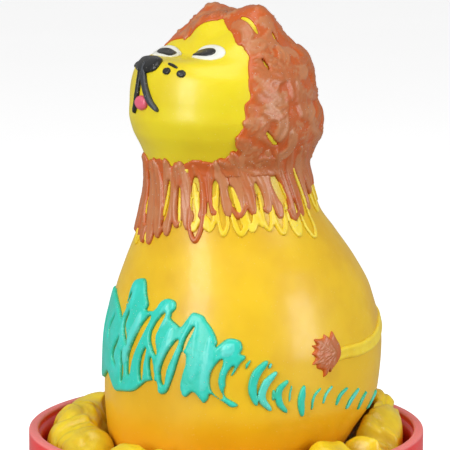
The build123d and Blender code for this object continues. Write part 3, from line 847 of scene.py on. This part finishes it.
def mane(material):
    """Thick brushed mane: a thin coat with some three hundred strokes over it, drawn away from the face."""
    rng = np.random.default_rng(11)
    paint = Paint((0, 360), (34.2, CROWN - 0.1), 0.25)
    paint.outs = sheath_out(paint.turn, paint.up).reshape(-1, 3)
    gap, _ = nearest(paint.points.reshape(-1, 3), on_skin(FACE_EDGE, 90, True))
    gap = gap.reshape(paint.turn.shape)
    bare = in_face(paint.turn, paint.up)
    lower = read(COLLAR_ENDS, (paint.turn + 180) % 360 - 180) + 4.5
    coat = np.where(bare, -gap, gap)
    coat = np.minimum(coat, paint.up - lower)
    paint.lay(np.ones(paint.turn.shape, bool), coat.ravel(), (0.16 * rounded(coat / 0.3)).ravel(), 0.15)
    # strokes from the face's edge, then all over the rest
    starts = []
    for point in on_skin(FACE_EDGE, 84, True):
        if point[2] > RIM + 37.5:
            starts.append((point, True))
    tries = 0
    while len(starts) < 300 and tries < 4000:
        tries += 1
        turn, up = rng.uniform(0, 360), rng.uniform(36, CROWN)
        weight = math.cos(math.radians(np.clip((up - HEAD_CENTRE) / RISE_STEP, 0, 88)))
        if rng.random() > weight or in_face(turn, up):
            continue
        starts.append((sheath(turn, up), False))
    centre = np.array((0.0, -7.0, RIM + 46.0))
    for point, at_edge in starts:
        away = point - centre
        pull = np.array((away[0] * 0.35, 5.0 + away[1] * 0.2,
                         away[2] * 0.3 - (0 if point[2] > RIM + 53 else 3.5)))
        pull = pull + rng.normal(0, 1.6, 3)
        if at_edge:
            point = point + pull / np.linalg.norm(pull) * 0.9
        length = rng.uniform(2.4, 5.5)
        path = flow(paint, point, pull, length, rng.normal(0, 0.22))
        thick = rng.uniform(0.2, 0.52)
        if path is not None:
            paint.stroke(None, rng.uniform(0.6, 1.3), thick, 0.5, 0.6, rng.uniform(0, 1), 0.2, path=path)
    for width, line in MANE_GAPS:
        paint.cut(line, width)
    paint.piece("mane_of_the_head", material, "mane_head")


def collar(brown, yellow):
    """Hanging strands round the neck, with bright loops of yellow between and under them."""
    rng = np.random.default_rng(5)
    paint = Paint((0, 360), (24.0, 38.8), 0.22)
    around_turn = (paint.turn + 180) % 360 - 180
    ends = read(COLLAR_ENDS, around_turn)
    top = read(COAT_TOPS, around_turn)
    coat = np.minimum(top - paint.up, paint.up - ends - 2.4)
    paint.lay(np.ones(paint.turn.shape, bool), coat.ravel(), (0.15 * rounded(coat / 0.4)).ravel(), 0.2)
    turn = -178.0
    while turn < 180:
        bottom = read(COLLAR_ENDS, turn) + rng.uniform(-0.2, 0.9)
        high = read(STRAND_TOPS, turn) - rng.uniform(0.0, 1.0)
        lean = rng.normal(5, 3) + (5 if 60 < turn < 150 else 0) - (9 if turn < -10 else 0)
        width = rng.uniform(0.7, 1.15)
        line = [(turn - lean, high), (turn - lean * 0.6, (high * 2 + bottom) / 3),
                (turn - lean * 0.2, (high + bottom * 2) / 3), (turn, bottom)]
        paint.stroke(line, width, rng.uniform(0.34, 0.52), 0.55, 0.7, rng.uniform(0.1, 1), 0.18)
        turn += rng.uniform(7.4, 10.4)
    for line in BROWN_LOOPS:
        paint.stroke(line, 0.34, 0.4, 0.8, 0.8, 0.2, 0.0)
    for width, line in COLLAR_GAPS:
        paint.cut(line, width)
    paint.piece("collar_strands", brown, "mane_collar")
    paint = Paint((0, 360), (23.5, 37.0), 0.22)
    for turn, bottom in YELLOW_LOOPS:
        half = rng.uniform(3.4, 5.0)
        tall = rng.uniform(3.2, 4.6)
        line = [(turn - half - 1, bottom + tall), (turn - half * 0.8, bottom + 1.3), (turn, bottom),
                (turn + half * 0.8, bottom + 1.3), (turn + half * 0.5, bottom + tall)]
        paint.stroke(line, rng.uniform(0.26, 0.42), 0.24, 0.6, 0.7, rng.uniform(0.2, 1), 0.1)
    for width, line in YELLOW_STROKES:
        paint.stroke(line, width, 0.26, 0.5, 0.7, rng.uniform(0.3, 1), 0.1)
    paint.piece("yellow_loops", yellow, "yellow_strands")


EYES = {1: [(16, 51.1), (17, 52.9), (29, 53.4), (44, 52.8), (54, 51.6), (57, 50.6), (55, 49.8), (50, 49.4),
            (44, 49.3), (34, 49.7)], -1: [(-9, 50.3), (-15, 51.7), (-30, 52.0), (-41, 51.5), (-49, 50.4),
                                          (-50, 49.7), (-45, 49.2), (-36, 49.0), (-26, 49.2), (-16, 49.7)]}
PUPILS = {1: [(18, 51.1), (19, 52.4), (34, 52.3), (45, 51.6), (49, 50.8), (47, 50.1), (40, 49.9),
              (30, 50.3)], -1: [(-10, 50.2), (-17, 51.1), (-31, 51.1), (-39, 50.4), (-41, 49.9),
                                (-37, 49.5), (-28, 49.5), (-18, 49.8)]}
DOTS = {1: ((18, 47.2, 0.5), (29, 47.0, 0.53)), -1: ((-34, 47.2, 0.5), (-45, 47.0, 0.53))}
DASHES = {1: [(16.0, 48.15), (19.6, 48.0), (24.4, 47.7)], -1: [(-32, 48.2), (-36, 48.0), (-40, 47.8)]}

NOSE = [
    (-16, 46.9), (-19, 47.6), (-21, 48.3), (-15, 48.8), (-5, 49.0), (6, 48.6), (9.4, 47.9), (9, 47.2),
    (4, 46.8), (-3, 46.6), (-11, 46.7)]
TONGUE = [
    (-2, 44.2), (3.4, 44.1), (5.6, 43.5), (4.6, 42.8), (0, 42.4), (-5, 42.6), (-7.6, 43.3), (-6, 43.9)]


def face(white, black, pink):
    """Eyes, nose, mouth, tongue and whisker dots, each a raised dab of paint."""
    for side in (1, -1):
        turns = [turn for turn, up in EYES[side]]
        eye = Paint((min(turns) - 6, max(turns) + 6), (47.5, 54.6), 0.12)
        eye.fill(EYES[side], 0.26, 0.5, 0.5)
        eye.piece("eye_white", white, side_name("eye_white", side))
        pupil = Paint((min(turns), max(turns)), (47.8, 54), 0.11, 0.23)
        pupil.fill(PUPILS[side], 0.2, 0.45, 0.4)
        pupil.piece("pupil", black, side_name("pupil", side), 0.1)
        dots = Paint(sorted((side * 8, side * 50)), (45.5, 49.5), 0.1)
        for turn, up, reach in DOTS[side]:
            dots.stroke([(turn - 0.9, up + 0.02), (turn, up), (turn + 0.9, up - 0.04)], reach, 0.26, 0.9,
                        0.9)
        dots.stroke(DASHES[side], 0.22, 0.22, 0.6, 0.9)
        dots.piece("whisker_dots", black, side_name("whisker_dots", side))
    nose = Paint((-27, 16), (45.4, 50.0), 0.11)
    nose.fill(NOSE, 0.5, 0.8, 0.3)
    nose.piece("nose", black, "nose_pad")
    near_line = Paint((-14, 22), (41.6, 48.4), 0.11)
    near_line.stroke([(-4, 47.7), (-2, 46.8), (0.6, 45.9), (4.6, 44.7), (9, 43.6), (14.4, 42.7)], 0.48,
                     0.58, 0.5, 0.8, 0.75)
    near_line.piece("mouth_line", black, side_name("mouth_line", 1))
    far_line = Paint((-20, 4), (41.2, 47.8), 0.11)
    far_line.stroke([(-8, 47.2), (-6, 45.8), (-6, 44.4), (-9, 42.2)], 0.48, 0.42, 0.8, 0.8, 0.3)
    far_line.piece("mouth_line", black, side_name("mouth_line", -1))
    tip = Paint((-11, 12), (41.6, 45.4), 0.1)
    tip.fill(TONGUE, 0.52, 0.6, 0.5)
    tip.piece("tongue_tip", pink, "tongue")


CLUMP = [
    (-28, 17.9), (-17, 16.7), (-9, 15.3), (-9, 16.8), (-7, 18.6), (-5, 20.2), (0, 20.8), (6, 20.8),
    (10, 19.1), (13, 17.9), (12, 17.2), (18, 17.4), (22, 18.6), (26, 19.1), (31, 18.9), (32, 18.0),
    (29, 17.0), (34, 16.1), (36, 15.9), (38, 16.6), (40, 17.3), (42, 17.8), (47, 17.5), (49, 16.8),
    (51, 16.2), (53, 15.3), (54, 14.3), (53, 13.6), (57, 14.6), (60, 14.9), (64, 14.6), (65, 13.7),
    (64, 13.0), (66, 12.8), (66, 12.3), (64, 11.8), (61, 10.4), (59, 10.0), (58, 9.2), (57, 8.3),
    (58, 7.5), (62, 6.8), (63, 6.4), (60, 6.2), (57, 6.8), (54, 7.3), (51, 7.8), (50, 7.1), (48, 6.6),
    (46, 7.2), (43, 7.9), (40, 7.2), (38, 7.4), (37, 8.6), (38, 10.0), (40, 12.2), (36, 12.8), (34, 10.9),
    (32, 8.9), (30, 7.5), (27, 7.1), (25, 7.4), (24, 8.6), (18, 8.4), (14, 7.7), (9, 6.8), (4, 6.4),
    (-3, 6.1), (-9, 5.9), (-14, 6.8), (-20, 7.8), (-27, 6.8), (-34, 6.3), (-41, 7.4), (-48, 6.6),
    (-54, 7.3), (-62, 6.7), (-70, 7.4), (-77, 6.9), (-80, 9.6), (-76, 12.4), (-72, 9.8), (-68, 11.0),
    (-64, 14.8), (-59, 14.2), (-57, 11.2), (-53, 13.8), (-49, 17.6), (-44, 17.0), (-42, 12.6), (-39, 14.6),
    (-34, 18.0)]
SLITS = [
    (0.24, [(-4, 18.7), (-7, 17.3), (-8, 16.2)]), (0.29, [(-2, 16.5), (-4, 14.6), (1, 12.4)]),
    (0.5, [(16, 16.5), (11, 14.5), (5, 11.1), (4, 8.7)]),
    (0.44, [(26, 17.2), (22, 15.6), (20, 14.1), (23, 12.1)]), (0.34, [(16, 12.5), (14, 10.5), (14, 8.4)]),
    (0.29, [(-8, 12.9), (-13, 10.5), (-9, 9.2)]), (0.29, [(-3, 11.2), (-2, 9.3), (-2, 7.4)]),
    (0.34, [(20, 11.5), (21, 9.9), (22, 8.7)]), (0.44, [(35, 14.1), (31, 12.2), (28, 10.2), (28, 8.5)]),
    (0.2, [(43, 16.0), (40, 14.5), (38, 13.0)]), (0.53, [(56, 12.1), (53, 10.3), (53, 8.7), (56, 7.4)]),
    (0.24, [(61, 11.4), (59, 10.3), (58, 9.0)]), (0.18, [(-18, 15.4), (-22, 13.7), (-22, 12.3)]),
    (0.35, [(-31, 15.5), (-33, 12), (-33, 9)]), (0.32, [(-45, 13.5), (-46, 9.4)]),
    (0.35, [(-60, 12.4), (-62, 9.2)]), (0.25, [(-72, 9.6), (-73, 8.4)])]
TUFTS = [
    (1.5, [(0, 19.6), (-3, 15), (-7, 10.5), (-9, 7.6)]), (1.0, [(27, 18.2), (24, 15.5)]),
    (1.0, [(9, 16.5), (4, 13), (-1, 10)]), (1.1, [(44, 16.6), (43.5, 12.5), (43, 9.2)]),
    (0.9, [(51, 14.6), (50, 11.4), (48, 8.4)]), (0.9, [(60.5, 14.0), (57.5, 13.0)]),
    (0.5, [(41.5, 16.8), (36, 13.4), (32.5, 10.4), (29.6, 7.9)]),
    (0.9, [(31, 15.4), (28.5, 12.8), (24.6, 10.2)])]
BLADES = [
    (0.27, [(68, 12.1), (65, 10.9), (61, 9.5), (61, 8.3), (65, 7.3)]),
    (0.58, [(75, 11.9), (70.6, 10.4), (69, 8.5), (70.6, 6.6)]),
    (0.52, [(79, 10.5), (74.6, 9.1), (73, 7.3), (76.6, 5.8)]),
    (0.46, [(84, 9.3), (80.4, 8.2), (80.6, 6.6), (83.6, 5.4)]),
    (0.13, [(86, 8.7), (85.2, 7.6), (85, 6.6)]), (0.5, [(91.6, 8.4), (90.4, 6.6), (91, 4.7)]),
    (0.19, [(100, 7.9), (96.6, 6.9), (95.6, 5.3)]), (0.2, [(106, 7.9), (102.6, 6.9), (101.4, 5.8)]),
    (0.28, [(115, 7.2), (110.6, 6.4), (108.6, 5.3)]), (0.33, [(123, 6.6), (118, 5.5), (115, 4.5)]),
    (0.28, [(130, 5.8), (126.4, 4.8), (124.4, 3.8)]), (0.3, [(143, 5.0), (140, 3.9), (138.6, 2.9)]),
    (0.2, [(77, 11.7), (76, 11.1)]), (0.2, [(78, 8.3), (77.8, 7.0)])]


def grass(material):
    """Clump of thick turquoise grass with slits scraped down through it, and the blades that trail off."""
    paint = Paint((-96, 76), (3.5, 22.2), 0.2)
    paint.fill(CLUMP, 0.42, 0.4, 0.35)
    for number, (width, line) in enumerate(TUFTS):
        paint.stroke(line, width, 0.5 + 0.06 * (number % 3), 0.6, 0.9, 0.5 + 0.5 * ((number * 0.37) % 1),
                     0.06)
    for width, line in SLITS:
        paint.cut(line, width)
    paint.piece("grass_clump", material, "grass_clump")
    paint = Paint((66, 146), (2.2, 13.6), 0.16)
    for number, (width, line) in enumerate(BLADES):
        paint.stroke(line, width, 0.16 + 0.4 * width, 0.4, 0.7, (number * 0.41) % 1, 0.1)
    paint.piece("grass_blades", material, "grass_blades")


TAIL = [
    (206, 15.2), (192, 15.0), (178, 14.8), (163, 14.3), (150, 13.6), (139, 12.4), (128, 11.9), (120, 11.8),
    (114, 11.9), (109, 11.7)]
TUFT_EDGE = [
    (107, 14.9), (108.6, 14.0), (110.4, 13.0), (110.6, 11.8), (108.6, 10.9), (106, 10.2), (104.6, 9.7),
    (103.6, 10.2), (101.4, 9.2), (100.8, 10.1), (98, 10.5), (97.6, 11.0), (95.6, 11.1), (97.4, 11.9),
    (95.6, 12.4), (97.2, 12.9), (95.8, 13.5), (99, 13.4), (97, 14.2), (101.6, 14.2), (102.6, 14.7),
    (105, 14.1)]


def tail(yellow, brown):
    """Curved yellow tail with a ragged brown tuft."""
    rng = np.random.default_rng(2)
    paint = Paint((106, 216), (9.2, 17.0), 0.18)
    paint.stroke(TAIL, 0.92, 0.26, 0.85, 0.5, 0.6, 0.12)
    paint.piece("tail", yellow, "tail_stroke")
    paint = Paint((92, 116), (8.4, 15.8), 0.12)
    paint.fill(TUFT_EDGE, 0.36, 0.5, 0.3)
    for turn, up in TUFT_EDGE[5:]:
        middle = ((turn + 106) / 2 + rng.normal(0, 0.4), (up + 12.2) / 2 + rng.normal(0, 0.2))
        paint.stroke([(107.5, 12.2), middle, (turn * 0.9 + 10.6, up * 0.9 + 1.22)], 0.34, 0.46, 0.3, 0.8,
                     rng.uniform(0, 0.9), 0.2)
    paint.piece("tuft", brown, "tail_tuft")


# ---------------------------------------------------------------- light and floor
def soft_light(name, spot, size, energy, shade=(1.0, 1.0, 1.0)):
    data = bpy.data.lights.new(name, "AREA")
    data.shape = "RECTANGLE"
    data.size, data.size_y = size
    data.energy = energy
    data.color = shade
    lamp = bpy.data.objects.new(name, data)
    lamp.location = spot
    aim = Vector((0, 0, 0.05)) - Vector(spot)
    lamp.rotation_euler = aim.to_track_quat("-Z", "Y").to_euler()
    bpy.context.collection.objects.link(lamp)


def around_view(turn, reach, level):
    """Place that lies turn degrees to the right of the camera, as seen from the lion."""
    angle = math.radians(VIEW_TURN + turn)
    return (reach * math.sin(angle), -reach * math.cos(angle), level)


def studio():
    world = bpy.data.worlds.new("pale_room")
    world.use_nodes = True
    back = world.node_tree.nodes["Background"]
    back.inputs["Color"].default_value = (1.0, 1.0, 1.0, 1.0)
    back.inputs["Strength"].default_value = 0.35
    bpy.context.scene.world = world
    bpy.context.scene.view_settings.view_transform = "Standard"
    soft_light("tall_left", around_view(-46, 0.40, 0.18), (0.16, 0.30), 1.15)
    soft_light("right", around_view(60, 0.40, 0.13), (0.16, 0.24), 0.8)
    soft_light("above", around_view(-10, 0.16, 0.55), (0.36, 0.36), 1.0)
    plate = mesh_object("pale_floor", [(-3000, -3000, -0.3), (3000, -3000, -0.3), (3000, 3000, -0.3),
                                       (-3000, 3000, -0.3)],
                        [(0, 1, 2, 3)], False)
    plate.data.materials.append(stage_finish())
    plate.visible_diffuse = False
    plate.visible_glossy = False


def main():
    latex, slack = latex_finish(), loose_latex_finish()
    # The fourth colour of each paint is the paler painted sheen of its streaks.
    brown = paint_finish("brown_paint", colour(184, 106, 56), colour(200, 88, 14), colour(198, 134, 88),
                         0.34, 0.7)
    yellow = paint_finish("yellow_paint", colour(250, 226, 30), colour(238, 200, 20), colour(255, 236, 90),
                          0.38, 0.5)
    white = paint_finish("white_paint", colour(240, 242, 238), colour(232, 232, 216), colour(246, 247, 245),
                         0.3, 0.3)
    black = paint_finish("black_paint", colour(18, 19, 20), colour(30, 28, 20), colour(84, 90, 98), 0.3,
                         0.5)
    pink = paint_finish("pink_paint", colour(228, 92, 120), colour(214, 90, 84), colour(240, 130, 150),
                        0.32, 0.5)
    turquoise = paint_finish("turquoise_paint", colour(40, 214, 196), colour(44, 190, 150),
                             colour(104, 226, 214), 0.34, 0.7)
    plastic = former_finish()
    lion_skin(latex)
    tub(tub_finish())
    dress("former_foot", plastic)
    dress("display_former", plastic)
    loose_skirt(slack)
    rolled_edge(slack)
    mane(brown)
    collar(brown, yellow)
    face(white, black, pink)
    grass(turquoise)
    tail(yellow, brown)
    studio()
    camera()


main()
